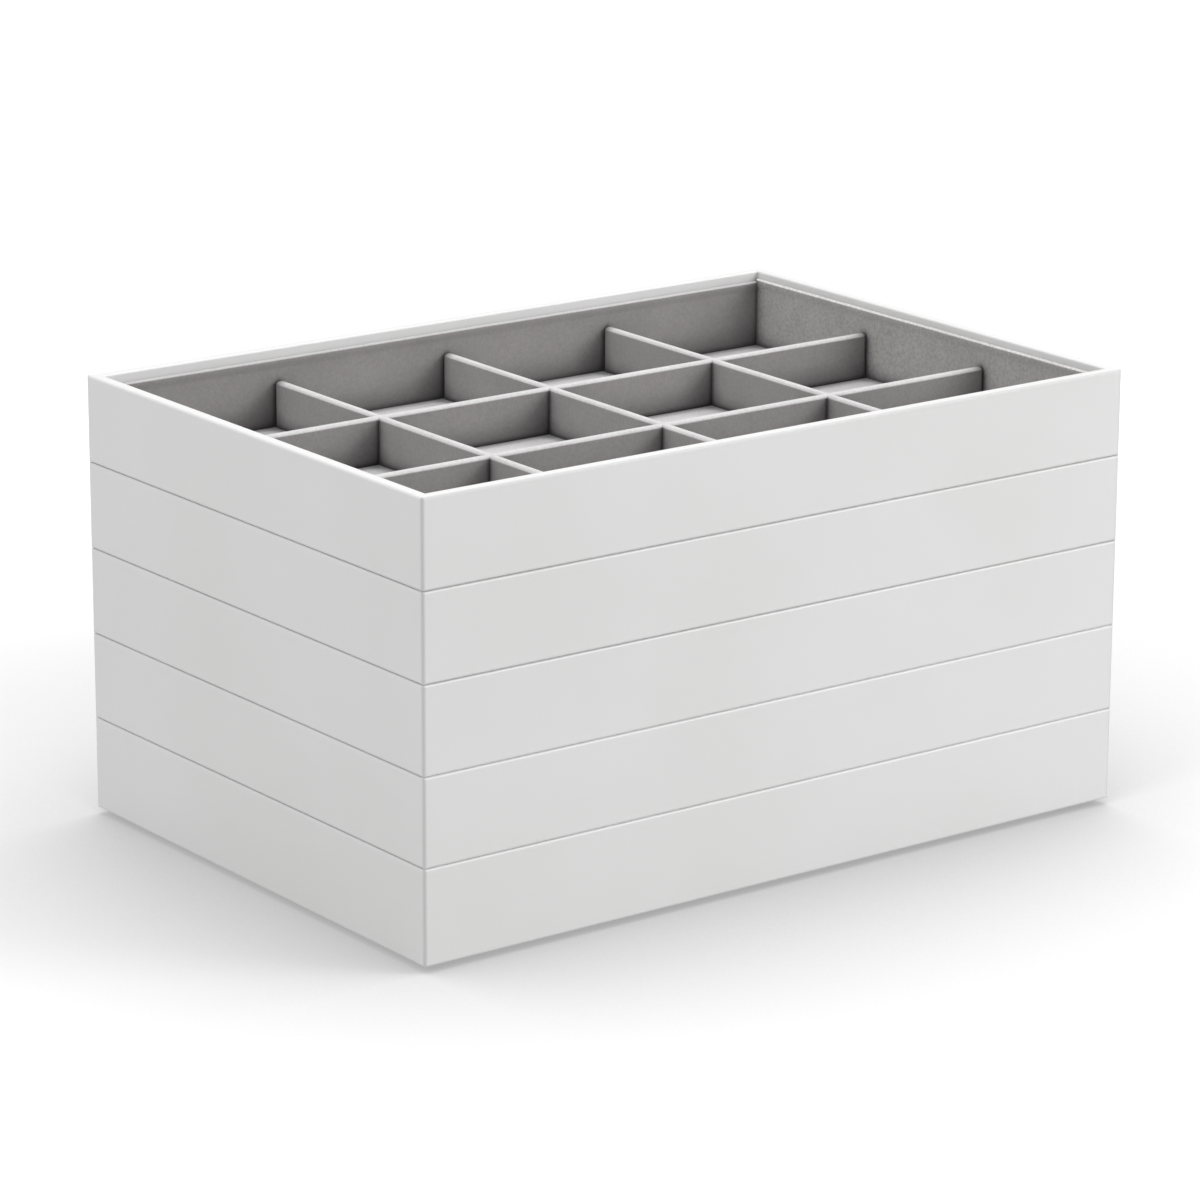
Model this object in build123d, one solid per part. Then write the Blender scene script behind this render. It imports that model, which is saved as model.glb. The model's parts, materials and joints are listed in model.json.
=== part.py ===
from build123d import *
import os

# Five lacquered display trays stacked rim to foot. Each tray is a mitred frame with a velvet lining
# and a halved velvet grid. Lengths are in millimetres. X runs along the long sides, Y along the
# short ones and Z up, from the underside of the felt of the lowest tray.

# The stack
tray_count = 5
tray_length = 350.0
tray_width = 240.0
wall_height = 36.5
lowest_wall_extra = 3.0

# Lacquered walls
wall_thickness = 5.2
corner_radius = 1.2
outer_edge_radius = 1.0
inner_edge_radius = 0.8
rebate_depth = 2.5

# Base panel, its step and its felt
flange_thickness = 2.0
flange_gap = 0.5
nest_side_gap = 0.6
nest_headroom = 1.4
step_corner_cut = 3.0
step_chamfer = 0.6
felt_thickness = 1.0
felt_inset = 2.0

# Velvet linings inside the walls
lining_thickness = 0.6
lining_drop = 4.2
lining_round_share = 0.48

# Velvet floor board
floor_thickness = 0.8
floor_gap = 0.2

# Velvet divider grid
column_count = 4
row_count = 3
divider_thickness = 4.2
divider_drop = 13.8
divider_end_gap = 0.3
divider_end_radius = 1.5
divider_round_share = 0.36
slot_side_gap = 0.1
slot_depth_share = 0.5

# How far a cutting shape runs past the piece that it cuts
overrun = 2.0

# Clear opening between the walls, then between the linings
opening_length = tray_length - 2 * wall_thickness
opening_width = tray_width - 2 * wall_thickness
lined_length = opening_length - 2 * lining_thickness
lined_width = opening_width - 2 * lining_thickness

# Levels over the lower edge of a tray's walls
step_depth = lining_drop - nest_headroom - felt_thickness
foot_drop = step_depth + felt_thickness
floor_top = flange_thickness + floor_thickness


# One ring for all four walls, rounded along its edges and rebated below for the base panel
def wall_ring(height):
    outline = Rectangle(tray_length, tray_width)
    ring = extrude(outline - Rectangle(opening_length, opening_width), height)
    rim = ring.faces().sort_by(Axis.Z)[-1]
    foot = ring.faces().sort_by(Axis.Z)[0]
    outer_edges = rim.outer_wire().edges() + foot.outer_wire().edges()
    ring = fillet(outer_edges, outer_edge_radius)
    rim = ring.faces().sort_by(Axis.Z)[-1]
    ring = fillet(rim.inner_wires()[0].edges(), inner_edge_radius)
    ring &= extrude(RectangleRounded(tray_length, tray_width, corner_radius), height)
    rebate = Rectangle(opening_length + 2 * rebate_depth, opening_width + 2 * rebate_depth)
    return ring - extrude(rebate, flange_thickness)


# The stretch of ring between two mitre lines, for a board along X on the front side
def mitre_zone(length, width, height):
    reach = wall_thickness + overrun
    outer_x, outer_y = length / 2, -width / 2
    outline = Polyline(
        (-outer_x, outer_y),
        (outer_x, outer_y),
        (outer_x - reach, outer_y + reach),
        (reach - outer_x, outer_y + reach),
        close=True,
    )
    return extrude(make_face(outline), height)


# The ring is sawn at its corners into four mitred boards
def wall_boards(height):
    ring = wall_ring(height)
    long_zone = mitre_zone(tray_length, tray_width, height)
    short_zone = Rot(Z=90) * mitre_zone(tray_width, tray_length, height)
    front = ring & long_zone
    right = ring & short_zone
    return {
        "front_wall": front,
        "back_wall": Rot(Z=180) * front,
        "right_wall": right,
        "left_wall": Rot(Z=180) * right,
    }


# Outline of the opening, drawn in all round by an inset, with its corners cut off
def corner_cut_outline(inset):
    outline = Rectangle(opening_length - 2 * inset, opening_width - 2 * inset)
    return chamfer(outline.vertices(), step_corner_cut)


# The flange fills the rebate and the step below it locates in the rim of the tray underneath
def base_panel():
    flange_reach = 2 * (rebate_depth - flange_gap)
    flange = Rectangle(opening_length + flange_reach, opening_width + flange_reach)
    step = extrude(corner_cut_outline(nest_side_gap), -step_depth)
    step = chamfer(step.faces().sort_by(Axis.Z)[0].edges(), min(step_chamfer, step_depth / 2))
    return extrude(flange, flange_thickness) + step


# Thin felt under the step, held in from its edge
def base_felt():
    outline = corner_cut_outline(nest_side_gap + felt_inset)
    return Pos(0, 0, -foot_drop) * extrude(outline, felt_thickness)


# Upright strip along X, standing on zero, with its two top edges rounded over
def round_topped_strip(length, thickness, height, round_share):
    strip = extrude(Rectangle(length, thickness), height)
    top_edges = strip.faces().sort_by(Axis.Z)[-1].edges().filter_by(Axis.X)
    return fillet(top_edges, thickness * round_share)


# Four strips against the walls, the short ones between the long ones
def lining_strips(height):
    strip_height = height - lining_drop - flange_thickness
    long_strip = round_topped_strip(opening_length, lining_thickness, strip_height, lining_round_share)
    short_strip = round_topped_strip(lined_width, lining_thickness, strip_height, lining_round_share)
    long_place = (lined_width + lining_thickness) / 2
    short_place = (lined_length + lining_thickness) / 2
    return {
        "front_lining": Pos(0, -long_place, flange_thickness) * long_strip,
        "back_lining": Pos(0, long_place, flange_thickness) * long_strip,
        "left_lining": Pos(-short_place, 0, flange_thickness) * Rot(Z=90) * short_strip,
        "right_lining": Pos(short_place, 0, flange_thickness) * Rot(Z=90) * short_strip,
    }


# Velvet-covered card between the linings
def floor_board():
    outline = Rectangle(lined_length - 2 * floor_gap, lined_width - 2 * floor_gap)
    return Pos(0, 0, flange_thickness) * extrude(outline, floor_thickness)


# Centre lines of the dividers that part a span into equal bays
def divider_places(span, bay_count):
    pitch = (span + divider_thickness) / bay_count
    return [pitch * step - (span + divider_thickness) / 2 for step in range(1, bay_count)]


# A divider along X with a rounded top that also rounds down at both ends
def divider_blank(length, height):
    strip = round_topped_strip(length, divider_thickness, height, divider_round_share)
    side = Rectangle(length, height, align=(Align.CENTER, Align.MIN))
    side = fillet(side.vertices().group_by(Axis.Y)[-1], divider_end_radius)
    return strip & extrude(Plane.XZ * side, divider_thickness, both=True)


# Halving slots across a divider, from level low to level high
def halving_slots(places, low, high):
    slot_width = divider_thickness + 2 * slot_side_gap
    slot = extrude(Rectangle(slot_width, divider_thickness + overrun), high - low)
    return [Pos(place, 0, low) * slot for place in places]


# Long dividers are slotted from the top and short ones from below, so that the tops lie level
def divider_grid(height):
    divider_height = height - divider_drop - floor_top
    slot_level = divider_height * slot_depth_share
    along_length = divider_places(lined_length, column_count)
    along_width = divider_places(lined_width, row_count)
    long_divider = divider_blank(lined_length - 2 * divider_end_gap, divider_height)
    long_divider -= halving_slots(along_length, slot_level, divider_height + overrun)
    short_divider = divider_blank(lined_width - 2 * divider_end_gap, divider_height)
    short_divider -= halving_slots(along_width, -overrun, slot_level)
    grid = {}
    for number, place in enumerate(along_width, 1):
        grid[f"long_divider_{number}"] = Pos(0, place, floor_top) * long_divider
    for number, place in enumerate(along_length, 1):
        grid[f"short_divider_{number}"] = Pos(place, 0, floor_top) * Rot(Z=90) * short_divider
    return grid


# All the pieces of one tray, over the lower edge of its walls
def tray_pieces(height):
    pieces = wall_boards(height)
    pieces["base_panel"] = base_panel()
    pieces["base_felt"] = base_felt()
    pieces["floor_board"] = floor_board()
    return pieces | lining_strips(height) | divider_grid(height)


# Like pieces of a covered tray, kept together under one name
def like_pieces(pieces):
    groups = {
        "long_linings": ("front_lining", "back_lining"),
        "short_linings": ("left_lining", "right_lining"),
        "long_dividers": tuple(name for name in pieces if name.startswith("long_divider")),
        "short_dividers": tuple(name for name in pieces if name.startswith("short_divider")),
    }
    grouped = {name: [piece] for name, piece in pieces.items()}
    for group, names in groups.items():
        grouped[group] = [grouped.pop(name)[0] for name in names]
    return grouped


def save(node, pieces, level):
    placed = [Pos(0, 0, level) * piece for piece in pieces]
    export_step(Compound(placed) if len(placed) > 1 else placed[0], f"parts/{node}.step")


os.makedirs("parts", exist_ok=True)
plain_tray = tray_pieces(wall_height)
deep_tray = tray_pieces(wall_height + lowest_wall_extra)
level = foot_drop
for number in range(1, tray_count + 1):
    pieces = deep_tray if number == 1 else plain_tray
    if number < tray_count:
        nodes = like_pieces(pieces)
    else:
        nodes = {name: [piece] for name, piece in pieces.items()}
    for name, group in nodes.items():
        save(f"tray_{number}_{name}", group, level)
    level += wall_height + (lowest_wall_extra if number == 1 else 0)
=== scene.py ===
import bpy
import bmesh
import json
import math
from mathutils import Matrix, Vector, noise


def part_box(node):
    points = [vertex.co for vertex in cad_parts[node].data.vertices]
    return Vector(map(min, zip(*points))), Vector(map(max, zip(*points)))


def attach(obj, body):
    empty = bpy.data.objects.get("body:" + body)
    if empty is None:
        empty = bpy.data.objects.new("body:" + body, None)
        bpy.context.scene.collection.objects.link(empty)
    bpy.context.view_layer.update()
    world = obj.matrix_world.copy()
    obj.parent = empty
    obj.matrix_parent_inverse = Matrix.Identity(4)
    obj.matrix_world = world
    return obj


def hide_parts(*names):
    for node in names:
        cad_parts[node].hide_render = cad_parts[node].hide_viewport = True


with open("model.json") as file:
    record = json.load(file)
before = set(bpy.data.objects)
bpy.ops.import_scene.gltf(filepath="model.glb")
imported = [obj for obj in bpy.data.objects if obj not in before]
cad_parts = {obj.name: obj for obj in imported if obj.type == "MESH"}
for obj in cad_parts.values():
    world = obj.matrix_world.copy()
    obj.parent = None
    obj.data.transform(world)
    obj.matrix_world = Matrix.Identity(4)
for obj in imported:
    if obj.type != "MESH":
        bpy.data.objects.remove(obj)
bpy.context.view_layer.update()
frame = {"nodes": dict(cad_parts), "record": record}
print("frame loaded:", len(frame["nodes"]), "nodes")

camera = {
    "place": (-1.1969, -1.6008, 0.6688),   # metres
    "azimuth": 36.72,                      # degrees from +Y towards +X
    "pitch": 16.12,                        # degrees below the horizon
    "roll": 0.21,                          # degrees
    "lens": 150.5,                         # millimetres
    "sensor": 36.0,                        # millimetres
    "clip": (0.05, 60.0),                  # metres
}


def makeCamera(settings):
    azimuth = math.radians(settings["azimuth"])
    pitch = math.radians(settings["pitch"])
    roll = math.radians(settings["roll"])
    forward = Vector((math.sin(azimuth) * math.cos(pitch),
                      math.cos(azimuth) * math.cos(pitch),
                      -math.sin(pitch)))
    right = Vector((math.cos(azimuth), -math.sin(azimuth), 0.0))
    up = right.cross(forward)
    rolledRight = right * math.cos(roll) + up * math.sin(roll)
    rolledUp = up * math.cos(roll) - right * math.sin(roll)
    turn = Matrix((rolledRight, rolledUp, -forward)).transposed()
    data = bpy.data.cameras.new("photoCamera")
    data.sensor_width = settings["sensor"]
    data.lens = settings["lens"]
    data.clip_start, data.clip_end = settings["clip"]
    viewer = bpy.data.objects.new("photoCamera", data)
    viewer.matrix_world = Matrix.Translation(settings["place"]) @ turn.to_4x4()
    bpy.context.scene.collection.objects.link(viewer)
    bpy.context.scene.camera = viewer


makeCamera(camera)
print("camera placed")

# node helpers that the materials share
noiseSpan = (0.3, 0.7)     # where a noise pattern has nearly all its values
wholeSpan = (0.0, 1.0)
hollowSamples = 8
plainWhite = (1.0, 1.0, 1.0, 1.0)


def newMaterial(name):
    material = bpy.data.materials.new(name)
    material.use_nodes = True
    tree = material.node_tree
    tree.nodes.clear()
    output = tree.nodes.new("ShaderNodeOutputMaterial")
    shader = tree.nodes.new("ShaderNodeBsdfPrincipled")
    tree.links.new(shader.outputs["BSDF"], output.inputs["Surface"])
    return material, tree, shader


def objectPattern(tree, scale=(1.0, 1.0, 1.0)):
    coordinate = tree.nodes.new("ShaderNodeTexCoord")
    mapping = tree.nodes.new("ShaderNodeMapping")
    mapping.inputs["Scale"].default_value = scale
    tree.links.new(coordinate.outputs["Object"], mapping.inputs["Vector"])
    return mapping.outputs["Vector"]


# the X, Y and Z of a point or of its normal
def axesOf(tree, source):
    coordinate = tree.nodes.new("ShaderNodeTexCoord")
    axes = tree.nodes.new("ShaderNodeSeparateXYZ")
    tree.links.new(coordinate.outputs[source], axes.inputs[0])
    return axes.outputs


def noisePattern(tree, vector, scale, detail, roughness=0.5):
    pattern = tree.nodes.new("ShaderNodeTexNoise")
    pattern.inputs["Scale"].default_value = scale
    pattern.inputs["Detail"].default_value = detail
    pattern.inputs["Roughness"].default_value = roughness
    tree.links.new(vector, pattern.inputs["Vector"])
    return pattern.outputs["Fac"]


def rampBetween(tree, factor, low, high, span=noiseSpan):
    ramp = tree.nodes.new("ShaderNodeValToRGB")
    ramp.color_ramp.interpolation = "EASE"
    for element, place, colour in zip(ramp.color_ramp.elements, span, (low, high)):
        element.position = place
        element.color = (*colour, 1.0)
    tree.links.new(factor, ramp.inputs["Fac"])
    return ramp.outputs["Color"]


def rangeBetween(tree, factor, low, high, span=wholeSpan):
    spread = tree.nodes.new("ShaderNodeMapRange")
    spread.inputs["From Min"].default_value = span[0]
    spread.inputs["From Max"].default_value = span[1]
    spread.inputs["To Min"].default_value = low
    spread.inputs["To Max"].default_value = high
    tree.links.new(factor, spread.inputs["Value"])
    return spread.outputs["Result"]


def mathOf(tree, operation, *values):
    result = tree.nodes.new("ShaderNodeMath")
    result.operation = operation
    for value, socket in zip(values, result.inputs):
        tree.links.new(value, socket)
    return result.outputs[0]


def shadedBy(tree, colour, factor):
    scaled = tree.nodes.new("ShaderNodeVectorMath")
    scaled.operation = "SCALE"
    tree.links.new(colour, scaled.inputs[0])
    tree.links.new(factor, scaled.inputs["Scale"])
    return scaled.outputs["Vector"]


# one in the open, less in a hollow; the reach is a number or comes from another node
def hollowPattern(tree, reach=1.0, reachFrom=None):
    hollow = tree.nodes.new("ShaderNodeAmbientOcclusion")
    hollow.samples = hollowSamples
    hollow.inputs["Distance"].default_value = reach
    if reachFrom is not None:
        tree.links.new(reachFrom, hollow.inputs["Distance"])
    return hollow.outputs["AO"]


def bumpOn(tree, height, strength, distance, before=None):
    bump = tree.nodes.new("ShaderNodeBump")
    bump.inputs["Strength"].default_value = strength
    bump.inputs["Distance"].default_value = distance
    tree.links.new(height, bump.inputs["Height"])
    if before is not None:
        tree.links.new(before, bump.inputs["Normal"])
    return bump.outputs["Normal"]


# noise patterns are given by scale, detail and roughness, bumps by strength and metres
lacquer = {
    "lightTone": (0.785, 0.785, 0.785),
    "darkTone": (0.755, 0.755, 0.750),
    "clouds": (9.0, 3.0),          # where the coat is lighter and darker
    "polish": (60.0, 4.0),         # where it is smoother and rougher
    "roughness": (0.30, 0.42),
    "peel": (420.0, 2.0),          # orange peel
    "peelBump": (0.10, 0.0002),
    "coat": 0.15,
    "coatRoughness": 0.3,
    "cornerX": (0.1734, 0.1745),   # where the rounded upright corners begin and end
    "cornerY": (0.1184, 0.1195),
    "paintedCornerShade": 0.80,           # painted shade: darker round an upright corner
    "edgeY": (0.1190, 0.1196),     # and along the rounded rims of the long walls
    "edgeZ": (0.160, 0.180),       # of the top tray
    "edgeSlope": (0.10, 0.30),
    "paintedEdgeShade": 0.80,
    "jointShadeReach": 0.0025,          # how far from a joint the painted shade shows
    "jointSpan": (0.10, 1.00),
    "paintedJointShade": 0.55,
    "lessShadeY": (0.1170, 0.1185),    # the joints of the long walls show less of it
    "lessShadeZ": (0.090, 0.110),      # and the lower ones hardly any
    "lessShadeKeep": (0.94, 0.82),
}


# one at the four upright corners of a tray
def cornerPattern(tree, settings):
    point = axesOf(tree, "Object")
    marks = [rangeBetween(tree, mathOf(tree, "ABSOLUTE", point[axis]), 0.0, 1.0, settings[span])
             for axis, span in (("X", "cornerX"), ("Y", "cornerY"))]
    return mathOf(tree, "MULTIPLY", *marks)


# one where the outer faces of the long walls round over at the top
def edgePattern(tree, settings):
    point = axesOf(tree, "Object")
    slope = axesOf(tree, "Normal")
    depth = mathOf(tree, "ABSOLUTE", point["Y"])
    outer = rangeBetween(tree, depth, 0.0, 1.0, settings["edgeY"])
    sloping = rangeBetween(tree, slope["Z"], 0.0, 1.0, settings["edgeSlope"])
    topTray = rangeBetween(tree, point["Z"], 0.0, 1.0, settings["edgeZ"])
    return mathOf(tree, "MULTIPLY", mathOf(tree, "MULTIPLY", outer, sloping), topTray)


# how little painted joint shade shows on the outer faces of the long walls
def lessJointShadePattern(tree, settings):
    point = axesOf(tree, "Object")
    depth = mathOf(tree, "ABSOLUTE", point["Y"])
    outer = rangeBetween(tree, depth, 0.0, 1.0, settings["lessShadeY"])
    keep = rangeBetween(tree, point["Z"], *settings["lessShadeKeep"], settings["lessShadeZ"])
    return mathOf(tree, "MULTIPLY", outer, keep)


def makeLacquer(settings):
    material, tree, shader = newMaterial("whiteLacquer")
    vector = objectPattern(tree)
    clouds = noisePattern(tree, vector, *settings["clouds"])
    tone = rampBetween(tree, clouds, settings["darkTone"], settings["lightTone"])
    # painted shade: greyer round the upright corners and on the top tray's rounded long rims
    corner = rangeBetween(tree, cornerPattern(tree, settings), 1.0, settings["paintedCornerShade"])
    tone = shadedBy(tree, tone, corner)
    edge = rangeBetween(tree, edgePattern(tree, settings), 1.0, settings["paintedEdgeShade"])
    tone = shadedBy(tree, tone, edge)
    # painted shade in the joints between trays, and less of it on the long walls
    joint = rangeBetween(tree, hollowPattern(tree, settings["jointShadeReach"]),
                         settings["paintedJointShade"], 1.0, settings["jointSpan"])
    joint = mathOf(tree, "MAXIMUM", joint, lessJointShadePattern(tree, settings))
    tone = shadedBy(tree, tone, joint)
    tree.links.new(tone, shader.inputs["Base Color"])
    polish = noisePattern(tree, vector, *settings["polish"])
    tree.links.new(rangeBetween(tree, polish, *settings["roughness"]),
                   shader.inputs["Roughness"])
    peel = noisePattern(tree, vector, *settings["peel"])
    tree.links.new(bumpOn(tree, peel, *settings["peelBump"]), shader.inputs["Normal"])
    shader.inputs["Coat Weight"].default_value = settings["coat"]
    shader.inputs["Coat Roughness"].default_value = settings["coatRoughness"]
    return material


velvet = {
    "sideTone": (0.300, 0.285, 0.286),    # upright sides, seen straight on
    "litTopTone": (0.655, 0.642, 0.644),     # painted light: level faces and tops are lighter
    "levelSpan": (0.10, 0.50),            # how level a face is before it takes the painted light
    "grazeSpan": (0.55, 0.95),            # painted sheen: a side seen at a slant takes the lighter tone too
    "fibres": (2400.0, 3.0, 0.7),
    "fibreBump": (0.5, 0.0002),
    "weave": (260.0, 4.0, 0.6),
    "weaveScale": (1.0, 1.0, 3.0),        # its rows are closer together along Z
    "weaveBump": (0.25, 0.0003),
    "patches": (38.0, 5.0, 0.65),         # lighter and darker patches of the nap
    "brushed": (0.94, 1.06),
    "tufts": (800.0, 2.0, 0.6),           # the same, tuft by tuft
    "grain": (0.93, 1.07),
    "cornerShadeReach": (0.009, 0.017),        # how far painted corner shade reaches on sides along Y and along X
    "cornerSpan": (0.25, 0.90),
    "paintedCornerShade": 0.22,
    "levelKeep": 0.9,                     # how little the painted corner shade darkens a level face
    "creaseShadeReach": (0.003, 0.009),        # painted shade along a crease, on sides and level faces
    "creaseSpan": (0.5, 0.9),
    "paintedCreaseShade": 0.20,
    "roughness": 0.95,
    "specular": 0.1,
    "sheen": 0.35,
    "sheenRoughness": 0.5,
}


def makeVelvet(name, settings):
    material, tree, shader = newMaterial(name)
    vector = objectPattern(tree)
    fibres = noisePattern(tree, vector, *settings["fibres"])
    weaveRows = noisePattern(tree, objectPattern(tree, settings["weaveScale"]),
                             *settings["weave"])
    pile = bumpOn(tree, weaveRows, *settings["weaveBump"])
    pile = bumpOn(tree, fibres, *settings["fibreBump"], pile)
    tree.links.new(pile, shader.inputs["Normal"])
    # painted light and sheen: level faces and sides seen at a slant take the lighter tone
    slope = axesOf(tree, "Normal")
    level = rangeBetween(tree, slope["Z"], 0.0, 1.0, settings["levelSpan"])
    weight = tree.nodes.new("ShaderNodeLayerWeight")
    tree.links.new(pile, weight.inputs["Normal"])
    graze = rangeBetween(tree, weight.outputs["Facing"], 0.0, 1.0, settings["grazeSpan"])
    paintedLight = mathOf(tree, "MAXIMUM", level, graze)
    tone = rampBetween(tree, paintedLight, settings["sideTone"], settings["litTopTone"], wholeSpan)
    for pattern, change in (("patches", "brushed"), ("tufts", "grain")):
        shade = noisePattern(tree, vector, *settings[pattern])
        tone = shadedBy(tree, tone, rangeBetween(tree, shade, *settings[change], noiseSpan))
    # painted shade in the corners, reaching further on sides that face along Y
    facing = mathOf(tree, "ABSOLUTE", slope["Y"])
    cornerShadeReach = rangeBetween(tree, facing, *settings["cornerShadeReach"])
    corners = rangeBetween(tree, hollowPattern(tree, reachFrom=cornerShadeReach),
                           settings["paintedCornerShade"], 1.0, settings["cornerSpan"])
    keep = rangeBetween(tree, level, 0.0, settings["levelKeep"])
    tone = shadedBy(tree, tone, mathOf(tree, "MAXIMUM", corners, keep))
    # painted shade along creases, where dividers, linings and floor meet
    creaseShadeReach = rangeBetween(tree, level, *settings["creaseShadeReach"])
    crease = rangeBetween(tree, hollowPattern(tree, reachFrom=creaseShadeReach),
                          settings["paintedCreaseShade"], 1.0, settings["creaseSpan"])
    tone = shadedBy(tree, tone, crease)
    tree.links.new(tone, shader.inputs["Base Color"])
    shader.inputs["Roughness"].default_value = settings["roughness"]
    shader.inputs["Specular IOR Level"].default_value = settings["specular"]
    shader.inputs["Sheen Weight"].default_value = settings["sheen"]
    shader.inputs["Sheen Roughness"].default_value = settings["sheenRoughness"]
    shader.inputs["Sheen Tint"].default_value = plainWhite
    return material


# the long linings get a copy with a darker painted light on top and a weaker painted crease
# shade
longLiningVelvet = {
    **velvet,
    "litTopTone": (0.60, 0.588, 0.590),
    "creaseShadeReach": (0.003, 0.0005),
    "paintedCreaseShade": 0.45,
}

# the short linings get a lighter copy of the velvet, painted light, and their tone varies more
# from tuft to tuft
litShortLiningVelvet = {
    **longLiningVelvet,
    "sideTone": (0.380, 0.363, 0.363),
    "litTopTone": (0.80, 0.785, 0.785),
    "grain": (0.84, 1.16),
}

felt = {
    "lightTone": (0.20, 0.20, 0.20),
    "darkTone": (0.11, 0.11, 0.11),
    "fibres": (900.0, 6.0, 0.7),
    "fibreBump": (0.6, 0.0004),
    "matting": (60.0, 3.0, 0.6),
    "mattingShade": (0.85, 1.1),
    "mattingBump": (0.3, 0.0004),
    "roughness": 0.95,
    "sheen": 0.3,
}


def makeFelt(settings):
    material, tree, shader = newMaterial("greyFelt")
    vector = objectPattern(tree)
    fibres = noisePattern(tree, vector, *settings["fibres"])
    matting = noisePattern(tree, vector, *settings["matting"])
    tone = rampBetween(tree, fibres, settings["darkTone"], settings["lightTone"])
    tone = shadedBy(tree, tone, rangeBetween(tree, matting, *settings["mattingShade"]))
    tree.links.new(tone, shader.inputs["Base Color"])
    surface = bumpOn(tree, matting, *settings["mattingBump"])
    tree.links.new(bumpOn(tree, fibres, *settings["fibreBump"], surface),
                   shader.inputs["Normal"])
    shader.inputs["Roughness"].default_value = settings["roughness"]
    shader.inputs["Sheen Weight"].default_value = settings["sheen"]
    return material


board = {
    "lightTone": (0.74, 0.74, 0.73),
    "darkTone": (0.66, 0.66, 0.65),
    "fibres": (300.0, 6.0, 0.7),
    "fibreScale": (0.25, 1.0, 1.0),   # the fibres run along X
    "fibreBump": (0.2, 0.0002),
    "roughness": (0.55, 0.7),
}


def makeBoard(settings):
    material, tree, shader = newMaterial("paintedBoard")
    fibres = noisePattern(tree, objectPattern(tree, settings["fibreScale"]),
                          *settings["fibres"])
    tree.links.new(rampBetween(tree, fibres, settings["darkTone"], settings["lightTone"]),
                   shader.inputs["Base Color"])
    tree.links.new(bumpOn(tree, fibres, *settings["fibreBump"]), shader.inputs["Normal"])
    tree.links.new(rangeBetween(tree, fibres, *settings["roughness"]),
                   shader.inputs["Roughness"])
    return material


materials = {
    "white_lacquer": makeLacquer(lacquer),
    "velvet": makeVelvet("greyVelvet", velvet),
    "base_felt": makeFelt(felt),
    "base_board": makeBoard(board),
}
for part in frame["record"]["subparts"]:
    node = frame["nodes"][part["node"]]
    node.data.materials.clear()
    node.data.materials.append(materials[part["material_slot"]])
liningMaterials = {    # by whether the lining runs along Y
    False: makeVelvet("longLiningVelvet", longLiningVelvet),
    True: makeVelvet("litShortLiningVelvet", litShortLiningVelvet),
}
print("materials made:", len(materials) + len(liningMaterials))

# mesh helpers that the velvet and felt pieces share
tolerance = 1e-6           # metres, as are all lengths below
mergeDistance = 1e-7
sharpAngle = math.radians(40.0)
levelFace = 0.5            # a face counts as level where its normal's Z is over this


def addBox(bm, low, high):
    size = Vector(high) - Vector(low)
    middle = (Vector(high) + Vector(low)) / 2
    place = Matrix.Translation(middle) @ Matrix.Diagonal((*size, 1.0))
    bmesh.ops.create_cube(bm, size=1.0, matrix=place)


def cutAcross(bm, places, axis=0):
    normal = [0.0, 0.0, 0.0]
    normal[axis] = 1.0
    for place in places:
        point = [0.0, 0.0, 0.0]
        point[axis] = place
        bmesh.ops.bisect_plane(bm, geom=bm.verts[:] + bm.edges[:] + bm.faces[:],
                               plane_co=point, plane_no=normal)


def roundOver(bm, edges, radius, segments):
    bmesh.ops.bevel(bm, geom=edges, offset=radius, offset_type="OFFSET", affect="EDGES",
                    segments=segments, profile=0.5, material=-1, clamp_overlap=False)


# pulls faces out by a distance along Z and gives the pulled faces back
def raiseFaces(bm, faces, distance):
    raised = bmesh.ops.extrude_discrete_faces(bm, faces=faces)["faces"]
    corners = list({v for face in raised for v in face.verts})
    bmesh.ops.translate(bm, vec=(0.0, 0.0, distance), verts=corners)
    return raised


def near(first, second):
    return abs(first - second) < tolerance


def limited(share):
    return min(max(share, 0.0), 1.0)


# both sides of strips that stand at these places
def sidesOf(places, half):
    return [place + side * half for place in places for side in (-1, 1)]


def evenPlaces(low, high, thickness, count):
    if count == 1:
        return [(low + high) / 2]
    pitch = (high - low - thickness) / (count - 1)
    return [low + thickness / 2 + pitch * step for step in range(count)]


def cutStations(length, spacing):
    count = max(2, round(length / spacing))
    return [length * step / count - length / 2 for step in range(1, count)]


def finishPiece(bm, name, body, slotName, nodes, material=None):
    bmesh.ops.remove_doubles(bm, verts=bm.verts, dist=mergeDistance)
    bmesh.ops.recalc_face_normals(bm, faces=bm.faces)
    for face in bm.faces:
        face.smooth = True
    for edge in bm.edges:
        edge.smooth = edge.calc_face_angle(math.pi) < sharpAngle
    mesh = bpy.data.meshes.new(name)
    bm.to_mesh(mesh)
    bm.free()
    mesh.materials.append(material or materials[slotName])
    piece = bpy.data.objects.new(name, mesh)
    bpy.context.scene.collection.objects.link(piece)
    flat = piece.modifiers.new("evenShading", "WEIGHTED_NORMAL")
    flat.keep_sharp = True
    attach(piece, body)
    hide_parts(*nodes)
    return piece


# copies on both sides of the middle, each with its own -Y side towards the middle
def placeCopies(strip, places, alongY, level, target):
    for place in places:
        copy = strip.copy()
        angle = (-math.pi / 2 if alongY else 0.0) + (math.pi if place < 0 else 0.0)
        turn = Matrix.Rotation(angle, 4, "Z")
        shift = (place, 0.0, level) if alongY else (0.0, place, level)
        bmesh.ops.transform(copy, matrix=Matrix.Translation(shift) @ turn, verts=copy.verts)
        mesh = bpy.data.meshes.new("copy")
        copy.to_mesh(mesh)
        target.from_mesh(mesh)
        bpy.data.meshes.remove(mesh)
        copy.free()


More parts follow.
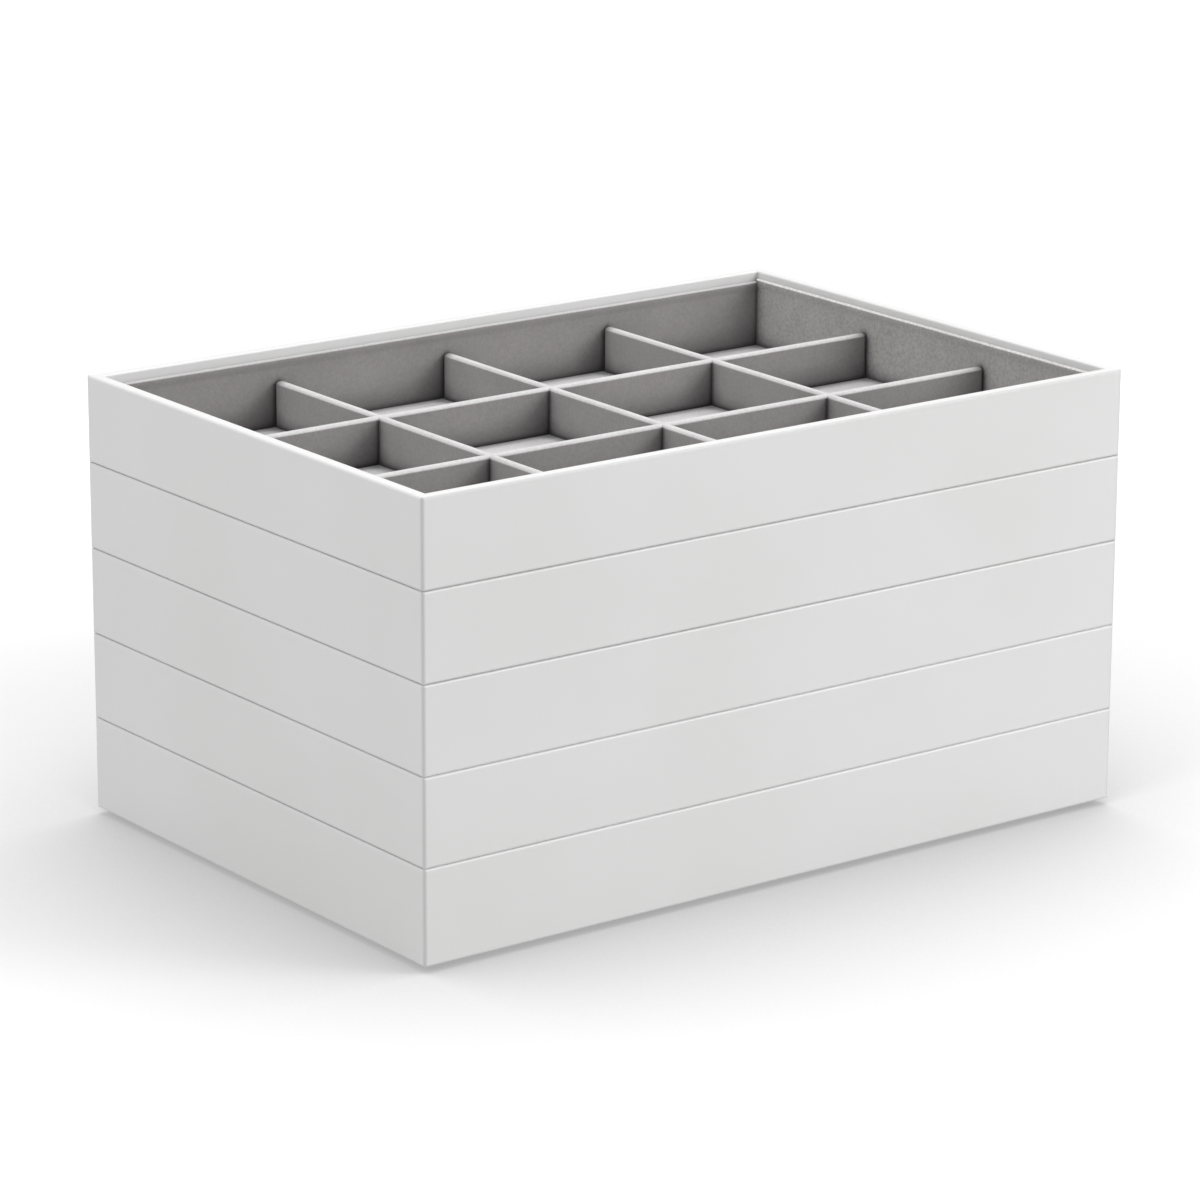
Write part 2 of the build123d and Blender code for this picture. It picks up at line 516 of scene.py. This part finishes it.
lining = {
    "thickness": 0.0006,
    "foldDepth": 0.0007,     # the cloth is folded over at the top and stands off further there
    "foldLevels": (0.0048, 0.0040, 0.0032, 0.0024, 0.0016),    # below its top
    "shortRise": 0.0011,     # the short linings stand that much higher
    "crownShare": 0.85,      # only the edge away from the wall is rounded
    "crownSegments": 6,
    "cutSpacing": 0.009,
    "wander": 0.00006,       # how far the cloth strays from straight
    "wanderFrom": 0.5,       # from this share of the height upwards
    "wanderPitch": (55.0, 80.0),   # for the height and the side, waves a metre
    "sideShares": (0.3, 0.6),      # of the wander, below and above sideFrom
    "sideFrom": 0.9,
}


# an upright velvet-covered strip along X, on the origin, with its pile towards -Y
def liningStrip(bm, settings, length, height):
    half = settings["thickness"] / 2
    addBox(bm, (-length / 2, -half, 0.0), (length / 2, half, height))
    cutAcross(bm, [height - level for level in settings["foldLevels"]], 2)
    foldLow, foldHigh = (height - settings["foldLevels"][end] for end in (0, -1))
    for v in bm.verts:
        share = limited((v.co.z - foldLow) / (foldHigh - foldLow))
        if v.co.y < 0.0:
            v.co.y -= settings["foldDepth"] * share * share * (3 - 2 * share)
    cutAcross(bm, cutStations(length, settings["cutSpacing"]))
    crown = [edge for edge in bm.edges
             if all(near(v.co.z, height) and v.co.y < 0.0 for v in edge.verts)
             and near(edge.verts[0].co.y, edge.verts[1].co.y)]
    radius = (settings["thickness"] + settings["foldDepth"]) * settings["crownShare"]
    roundOver(bm, crown, radius, settings["crownSegments"])
    highPitch, sidePitch = settings["wanderPitch"]
    lowShare, highShare = settings["sideShares"]
    for v in bm.verts:
        if v.co.z > height * settings["wanderFrom"]:
            v.co.z += settings["wander"] * (noise.noise(v.co * highPitch) - 0.5)
            share = lowShare if v.co.z < height * settings["sideFrom"] else highShare
            v.co.y += settings["wander"] * noise.noise(v.co * sidePitch) * share


def makeLinings(settings, body, node, alongY, count):
    low, high = (Vector(corner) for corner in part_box(node))
    run, across = (1, 0) if alongY else (0, 1)
    strip = bmesh.new()
    rise = settings["shortRise"] if alongY else 0.0
    liningStrip(strip, settings, high[run] - low[run], high.z - low.z + rise)
    places = evenPlaces(low[across], high[across], settings["thickness"], count)
    bm = bmesh.new()
    placeCopies(strip, places, alongY, low.z, bm)
    strip.free()
    return finishPiece(bm, node + "_velvet", body, "velvet", [node], liningMaterials[alongY])


divider = {
    "thickness": 0.0042,
    "crownShare": 0.36,
    "crownSegments": 6,
    "endRadius": 0.0015,
    "endSegments": 4,
    "slotHalf": 0.00151,     # the velvet sides close the halving slots
    "slotShare": 0.5,        # how far up the slots meet
    "cutSpacing": 0.010,
    "cutGap": 0.003,         # no cut is nearer to a slot than this
    "wander": 0.00007,       # how far the cloth strays from straight
    "wanderFrom": 0.8,       # from this share of the height upwards
    "wanderPitch": (60.0, 90.0),   # for the height and the side, waves a metre
    "stillReach": 0.003,     # it is straight this close to a crossing and an end
    "fadeReach": 0.01,       # and has its full wander this much further
}


# at a crossing the rounded top is cut to the shape of the divider that goes across
def copeCrown(bm, settings, crossings, level):
    for v in bm.verts:
        for place in crossings:
            if near(abs(v.co.x - place), settings["slotHalf"]) and v.co.z > level:
                v.co.x = place + math.copysign(abs(v.co.y), v.co.x - place)


# one divider along X on the origin, halved at its crossings from above or from below
def dividerStrip(bm, settings, length, height, crossings, fromAbove):
    half = settings["thickness"] / 2
    level = height * settings["slotShare"]
    low, high = (0.0, level) if fromAbove else (level, height)
    addBox(bm, (-length / 2, -half, low), (length / 2, half, high))
    slotEdges = sidesOf(crossings, settings["slotHalf"])
    cutAcross(bm, slotEdges)
    lands = [face for face in bm.faces if near(abs(face.normal.z), 1.0)
             and near(face.calc_center_median().z, level)
             and all(abs(face.calc_center_median().x - place) > settings["slotHalf"]
                     for place in crossings)]
    raiseFaces(bm, lands, height - level if fromAbove else -level)
    stations = [place for place in cutStations(length, settings["cutSpacing"])
                if all(abs(place - edge) > settings["cutGap"] for edge in slotEdges)]
    cutAcross(bm, stations)
    ends = [edge for edge in bm.edges
            if all(near(v.co.z, height) and near(abs(v.co.x), length / 2) for v in edge.verts)]
    roundOver(bm, ends, settings["endRadius"], settings["endSegments"])
    sideEdges = [edge for edge in bm.edges
                 if all(near(abs(v.co.y), half) for v in edge.verts)
                 and near(edge.verts[0].co.y, edge.verts[1].co.y)]
    endStart = length / 2 - settings["endRadius"] - tolerance
    crown = []
    for edge in sideEdges:
        first, second = (v.co for v in edge.verts)
        onTop = near(first.z, height) and near(second.z, height)
        onEnd = (min(abs(first.x), abs(second.x)) > endStart
                 and len({face.normal.to_tuple(2) for face in edge.link_faces}) == 2)
        if onTop or onEnd:
            crown.append(edge)
    radius = settings["thickness"] * settings["crownShare"]
    roundOver(bm, crown, radius, settings["crownSegments"])
    if fromAbove:
        copeCrown(bm, settings, crossings, height - radius - tolerance)
    highPitch, sidePitch = settings["wanderPitch"]
    for v in bm.verts:
        clear = min([abs(v.co.x - place) for place in crossings] + [length / 2 - abs(v.co.x)])
        share = limited((clear - settings["stillReach"]) / settings["fadeReach"])
        if v.co.z > height * settings["wanderFrom"]:
            v.co.z += settings["wander"] * (noise.noise(v.co * highPitch) - 0.5) * share
            v.co.y += settings["wander"] * noise.noise(v.co * sidePitch) * share


def makeDividers(settings, body, node, alongY, count, crossings):
    low, high = (Vector(corner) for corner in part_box(node))
    run, across = (1, 0) if alongY else (0, 1)
    strip = bmesh.new()
    dividerStrip(strip, settings, high[run] - low[run], high.z - low.z, crossings, not alongY)
    places = evenPlaces(low[across], high[across], settings["thickness"], count)
    bm = bmesh.new()
    placeCopies(strip, places, alongY, low.z, bm)
    strip.free()
    return finishPiece(bm, node + "_velvet", body, "velvet", [node])


floorPad = {
    "margin": 0.0004,        # the pile is pressed down along every divider and lining
    "rise": 0.0003,
    "edgeRadius": 0.0003,
    "edgeSegments": 3,
}


# a velvet-covered board whose pile stands up a little inside each compartment
def makeFloorBoard(settings, body, node, columns, rows, thickness):
    low, high = (Vector(corner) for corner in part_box(node))
    bm = bmesh.new()
    addBox(bm, low, high)
    for axis, places in enumerate((columns, rows)):
        cutAcross(bm, sidesOf(places, thickness / 2), axis)
    pads = [face for face in bm.faces if face.normal.z > levelFace
            and all(abs(face.calc_center_median()[axis] - place) > thickness
                    for axis, places in enumerate((columns, rows)) for place in places)]
    bmesh.ops.inset_individual(bm, faces=pads, thickness=settings["margin"], depth=0.0)
    raised = raiseFaces(bm, pads, settings["rise"])
    rims = list({edge for face in raised for edge in face.edges})
    roundOver(bm, rims, settings["edgeRadius"], settings["edgeSegments"])
    return finishPiece(bm, node + "_velvet", body, "velvet", [node])


feltSheet = {
    "cutSize": (0.2244, 0.3344),
    "cornerRadius": 0.0035,
    "cornerSegments": 6,
    "edgeRadius": 0.00025,
    "edgeSegments": 2,
}


def makeFeltSheet(settings, body, node):
    low, high = (Vector(corner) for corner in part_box(node))
    bm = bmesh.new()
    addBox(bm, low, high)
    uprights = [edge for edge in bm.edges if near(edge.verts[0].co.x, edge.verts[1].co.x)
                and near(edge.verts[0].co.y, edge.verts[1].co.y)]
    roundOver(bm, uprights, settings["cornerRadius"], settings["cornerSegments"])
    under = [edge for edge in bm.edges if all(near(v.co.z, low.z) for v in edge.verts)]
    roundOver(bm, under, settings["edgeRadius"], settings["edgeSegments"])
    cloth = finishPiece(bm, node + "_cloth", body, "base_felt", [node])
    return cloth


trayCount = 5
longCount, shortCount = 2, 3    # the dividers of a tray, along X and along Y
# nodes by name, whether they run along Y, and how many strips they hold
topLinings = [("front_lining", False, 1), ("back_lining", False, 1),
              ("left_lining", True, 1), ("right_lining", True, 1)]
topDividers = ([(f"long_divider_{step + 1}", False, 1) for step in range(longCount)]
               + [(f"short_divider_{step + 1}", True, 1) for step in range(shortCount)])
coveredLinings = [("long_linings", False, 2), ("short_linings", True, 2)]
coveredDividers = [("long_dividers", False, longCount), ("short_dividers", True, shortCount)]

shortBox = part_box("tray_1_short_dividers")
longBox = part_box("tray_1_long_dividers")
columns = evenPlaces(shortBox[0][0], shortBox[1][0], divider["thickness"], shortCount)
rows = evenPlaces(longBox[0][1], longBox[1][1], divider["thickness"], longCount)
clothPieces = []
for number in range(1, trayCount + 1):
    body = f"tray_{number}"
    linings, dividers = ((topLinings, topDividers) if number == trayCount
                         else (coveredLinings, coveredDividers))
    for name, alongY, count in linings:
        clothPieces.append(makeLinings(lining, body, f"{body}_{name}", alongY, count))
    for name, alongY, count in dividers:
        crossings = rows if alongY else columns
        clothPieces.append(makeDividers(divider, body, f"{body}_{name}",
                                        alongY, count, crossings))
    clothPieces.append(makeFloorBoard(floorPad, body, f"{body}_floor_board",
                                      columns, rows, divider["thickness"]))
    clothPieces.append(makeFeltSheet(feltSheet, body, f"{body}_base_felt"))
print("velvet and felt pieces made:", len(clothPieces))

studio = {
    "floorSize": 30.0,
    "floorTone": (0.70, 0.70, 0.70),     # as it is seen
    "bounceTone": (0.35, 0.35, 0.35),    # as it lights the trays
    "bounceGlow": (0.20, 0.03),          # near the trays and far from them
    "bounceReach": (0.25, 0.50),
    "floorGlow": (0.29, 1.0),            # the same as it is seen
    "glowReach": (0.5, 1.8),
    "paintedShadowReach": 0.30,                # how far from the trays the painted shadow darkens the floor
    "gapReach": 0.012,                   # how far the painted light reaches that softens the shadow close to the lowest tray
    "gapSpan": (0.30, 0.62),
    "gapGlow": 0.10,
    "skyStrength": 0.52,
}


# one for the rays that show the background: straight on, mirrored or through glass
def shownRays(tree):
    path = tree.nodes.new("ShaderNodeLightPath")
    shown = mathOf(tree, "MAXIMUM", path.outputs["Is Camera Ray"], path.outputs["Is Glossy Ray"])
    return mathOf(tree, "MAXIMUM", shown, path.outputs["Is Transmission Ray"])


def makeFloor(settings):
    bm = bmesh.new()
    bmesh.ops.create_grid(bm, x_segments=1, y_segments=1, size=settings["floorSize"] / 2)
    mesh = bpy.data.meshes.new("floor")
    bm.to_mesh(mesh)
    bm.free()
    floor = bpy.data.objects.new("floor", mesh)
    bpy.context.scene.collection.objects.link(floor)
    material, tree, shader = newMaterial("paleFloor")
    shader.inputs["Roughness"].default_value = 1.0
    shader.inputs["Specular IOR Level"].default_value = 0.0
    shown = shownRays(tree)
    tone = rampBetween(tree, shown, settings["bounceTone"], settings["floorTone"], wholeSpan)
    # painted shadow: the floor as it is seen darkens where the trays hide it
    contact = rangeBetween(tree, shown, 1.0, 0.0)
    contact = mathOf(tree, "MAXIMUM", contact, hollowPattern(tree, settings["paintedShadowReach"]))
    tree.links.new(shadedBy(tree, tone, contact), shader.inputs["Base Color"])
    length = tree.nodes.new("ShaderNodeVectorMath")
    length.operation = "LENGTH"
    tree.links.new(objectPattern(tree), length.inputs[0])
    distance = length.outputs["Value"]
    glow = rangeBetween(tree, distance, *settings["floorGlow"], settings["glowReach"])
    # painted light: a little glow where the floor is hidden under the lowest tray
    gap = rangeBetween(tree, hollowPattern(tree, settings["gapReach"]),
                       settings["gapGlow"], 0.0, settings["gapSpan"])
    glow = mathOf(tree, "ADD", glow, gap)
    bounce = rangeBetween(tree, distance, *settings["bounceGlow"], settings["bounceReach"])
    spread = tree.nodes.new("ShaderNodeMix")
    tree.links.new(bounce, spread.inputs["A"])
    tree.links.new(shown, spread.inputs["Factor"])
    tree.links.new(glow, spread.inputs["B"])
    shader.inputs["Emission Color"].default_value = plainWhite
    tree.links.new(spread.outputs["Result"], shader.inputs["Emission Strength"])
    mesh.materials.append(material)


def makeSky(settings):
    world = bpy.data.worlds.new("studioSky")
    world.use_nodes = True
    tree = world.node_tree
    background = tree.nodes["Background"]
    background.inputs["Color"].default_value = plainWhite
    tree.links.new(rangeBetween(tree, shownRays(tree), settings["skyStrength"], 1.0),
                   background.inputs["Strength"])
    bpy.context.scene.world = world


lampAim = (0.0, 0.0, 0.1)
lamps = {
    "topSoftbox": {"place": (0.3, 0.3, 2.2), "size": 2.0, "power": 23.5},
    "keySoftbox": {"place": (1.4, -1.5, 1.3), "size": 0.9, "power": 17.0},
    "leftSoftbox": {"place": (-1.7, -0.3, 1.2), "size": 1.0, "power": 11.0},
    "frontFill": {"place": (1.2, -1.9, 0.3), "size": 0.9, "power": 9.0},
}


def makeLamp(name, settings):
    data = bpy.data.lights.new(name, "AREA")
    data.shape = "SQUARE"
    data.size = settings["size"]
    data.energy = settings["power"]
    lamp = bpy.data.objects.new(name, data)
    lamp.location = settings["place"]
    heading = Vector(lampAim) - Vector(settings["place"])
    lamp.rotation_euler = heading.to_track_quat("-Z", "Y").to_euler()
    bpy.context.scene.collection.objects.link(lamp)


makeFloor(studio)
makeSky(studio)
for lampName, lampSettings in lamps.items():
    makeLamp(lampName, lampSettings)
bpy.context.scene.view_settings.view_transform = "Standard"
print("studio lit")
